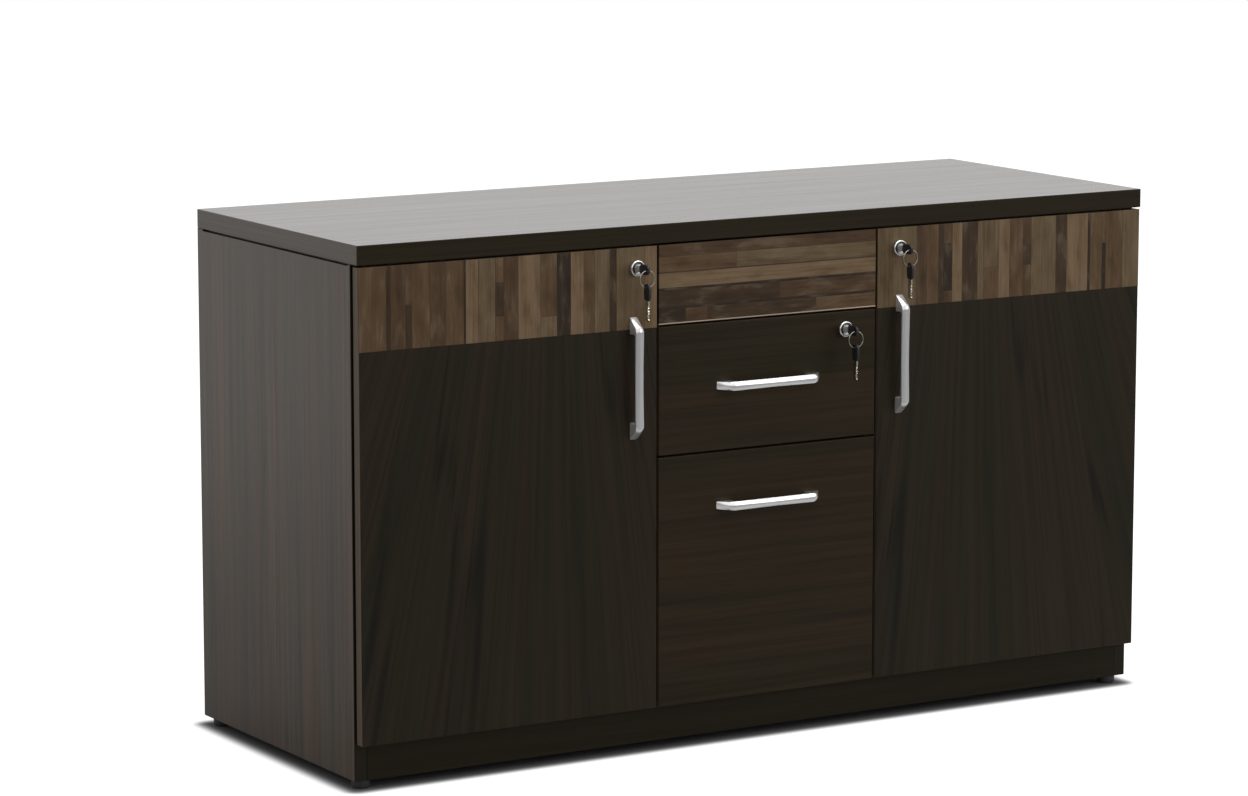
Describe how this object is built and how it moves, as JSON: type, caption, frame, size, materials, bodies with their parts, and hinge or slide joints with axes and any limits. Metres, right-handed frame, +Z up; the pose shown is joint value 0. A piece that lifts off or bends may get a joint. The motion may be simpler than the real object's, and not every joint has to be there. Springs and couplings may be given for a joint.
{
  "type": "office credenza",
  "caption": "Low office credenza with hinged side cupboards, a box drawer and a file drawer under a fixed fascia, staved wood bands, bow handles and keyed cam locks",
  "frame": {"origin": "on the floor, under the middle of the overall box, the handles and keys on the front included", "axes": "X along the width, front towards -Y, Z up"},
  "size_m": [1.2, 0.486, 0.69],
  "materials": {
    "dark_laminate": "satin",
    "side_laminate": "satin",
    "top_laminate": "satin",
    "staved_wood": "satin",
    "inner_laminate": "matte",
    "back_sheet": "matte",
    "satin_chrome": "satin",
    "bright_chrome": "polished",
    "zinc_steel": "brushed",
    "key_plastic": "matte",
    "glide_plastic": "matte",
    "buffer_rubber": "matte",
    "file_aluminium": "satin"
  },
  "bodies": {
    "carcass": {"top_panel": "top_laminate", "right_side_panel": "side_laminate", "left_side_panel": "side_laminate", "bottom_panel": "inner_laminate", "right_partition": "inner_laminate", "left_partition": "inner_laminate", "back_panel": "back_sheet", "top_rails": "inner_laminate", "plinths": "dark_laminate", "fascia_panel": "dark_laminate", "fascia_band": "staved_wood", "floor_glides": "glide_plastic", "shelves": "inner_laminate", "shelf_pins": "zinc_steel", "front_buffers": "buffer_rubber", "lock_strikes": "zinc_steel", "hinge_arms": "zinc_steel", "outer_slides": "zinc_steel"},
    "left_door": {"left_door_panel": "dark_laminate", "left_door_band": "staved_wood", "left_hinge_cups": "zinc_steel", "left_hinge_pins": "zinc_steel", "left_door_handle": "satin_chrome", "left_door_handle_screws": "zinc_steel", "left_lock_housing": "bright_chrome"},
    "left_door_lock": {"left_lock_plug": "zinc_steel", "left_lock_key": "key_plastic"},
    "left_door_spare_key": {"left_spare_key": "key_plastic"},
    "right_door": {"right_door_panel": "dark_laminate", "right_door_band": "staved_wood", "right_hinge_cups": "zinc_steel", "right_hinge_pins": "zinc_steel", "right_door_handle": "satin_chrome", "right_door_handle_screws": "zinc_steel", "right_lock_housing": "bright_chrome"},
    "right_door_lock": {"right_lock_plug": "zinc_steel", "right_lock_key": "key_plastic"},
    "right_door_spare_key": {"right_spare_key": "key_plastic"},
    "upper_drawer": {"upper_drawer_front": "dark_laminate", "upper_drawer_sides": "inner_laminate", "upper_drawer_back": "inner_laminate", "upper_drawer_bottom": "inner_laminate", "upper_drawer_handle": "satin_chrome", "upper_drawer_handle_screws": "zinc_steel", "upper_drawer_inner_slides": "zinc_steel", "drawer_lock_housing": "bright_chrome"},
    "upper_drawer_slide_middles": {"upper_drawer_middle_slides": "zinc_steel"},
    "lower_drawer": {"lower_drawer_front": "dark_laminate", "lower_drawer_sides": "inner_laminate", "lower_drawer_back": "inner_laminate", "lower_drawer_bottom": "inner_laminate", "lower_drawer_handle": "satin_chrome", "lower_drawer_handle_screws": "zinc_steel", "lower_drawer_inner_slides": "zinc_steel", "lower_drawer_file_rails": "file_aluminium"},
    "lower_drawer_slide_middles": {"lower_drawer_middle_slides": "zinc_steel"},
    "drawer_lock": {"drawer_lock_plug": "zinc_steel", "drawer_lock_key": "key_plastic"},
    "drawer_spare_key_set": {"drawer_spare_key": "key_plastic"}
  },
  "joints": [
    {"name": "left_door_hinge", "type": "hinge", "parent": "carcass", "child": "left_door", "pos_m": [-0.5918, -0.19895, 0.3605], "axis": [0, 0, -1], "range_deg": [0, 95]},
    {"name": "right_door_hinge", "type": "hinge", "parent": "carcass", "child": "right_door", "pos_m": [0.5918, -0.19895, 0.3605], "axis": [0, 0, 1], "range_deg": [0, 95]},
    {"name": "left_lock_turn", "type": "hinge", "parent": "left_door", "child": "left_door_lock", "pos_m": [-0.2015, -0.20695, 0.636], "axis": [0, -1, 0], "range_deg": [0, 90]},
    {"name": "right_lock_turn", "type": "hinge", "parent": "right_door", "child": "right_door_lock", "pos_m": [0.2015, -0.20695, 0.636], "axis": [0, 1, 0], "range_deg": [0, 90]},
    {"name": "left_spare_key_swing", "type": "hinge", "parent": "left_door_lock", "child": "left_door_spare_key", "pos_m": [-0.2015, -0.23655, 0.636], "axis": [-1, 0, 0], "range_deg": [-15, 60]},
    {"name": "right_spare_key_swing", "type": "hinge", "parent": "right_door_lock", "child": "right_door_spare_key", "pos_m": [0.2015, -0.23655, 0.636], "axis": [-1, 0, 0], "range_deg": [-15, 60]},
    {"name": "upper_drawer_pull", "type": "slide", "parent": "carcass", "child": "upper_drawer", "axis": [0, -1, 0], "range_m": [0, 0.38]},
    {"name": "upper_slide_middles", "type": "slide", "parent": "carcass", "child": "upper_drawer_slide_middles", "axis": [0, -1, 0], "range_m": [0, 0.19]},
    {"name": "lower_drawer_pull", "type": "slide", "parent": "carcass", "child": "lower_drawer", "axis": [0, -1, 0], "range_m": [0, 0.38]},
    {"name": "lower_slide_middles", "type": "slide", "parent": "carcass", "child": "lower_drawer_slide_middles", "axis": [0, -1, 0], "range_m": [0, 0.19]},
    {"name": "drawer_lock_turn", "type": "hinge", "parent": "upper_drawer", "child": "drawer_lock", "pos_m": [0.1165, -0.20695, 0.5345], "axis": [0, 1, 0], "range_deg": [0, 90]},
    {"name": "drawer_spare_key_swing", "type": "hinge", "parent": "drawer_lock", "child": "drawer_spare_key_set", "pos_m": [0.1165, -0.23655, 0.5345], "axis": [-1, 0, 0], "range_deg": [-15, 60]}
  ],
  "couplings": [
    {"joint": "upper_slide_middles", "follows": "upper_drawer_pull", "ratio": 0.5},
    {"joint": "lower_slide_middles", "follows": "lower_drawer_pull", "ratio": 0.5}
  ]
}
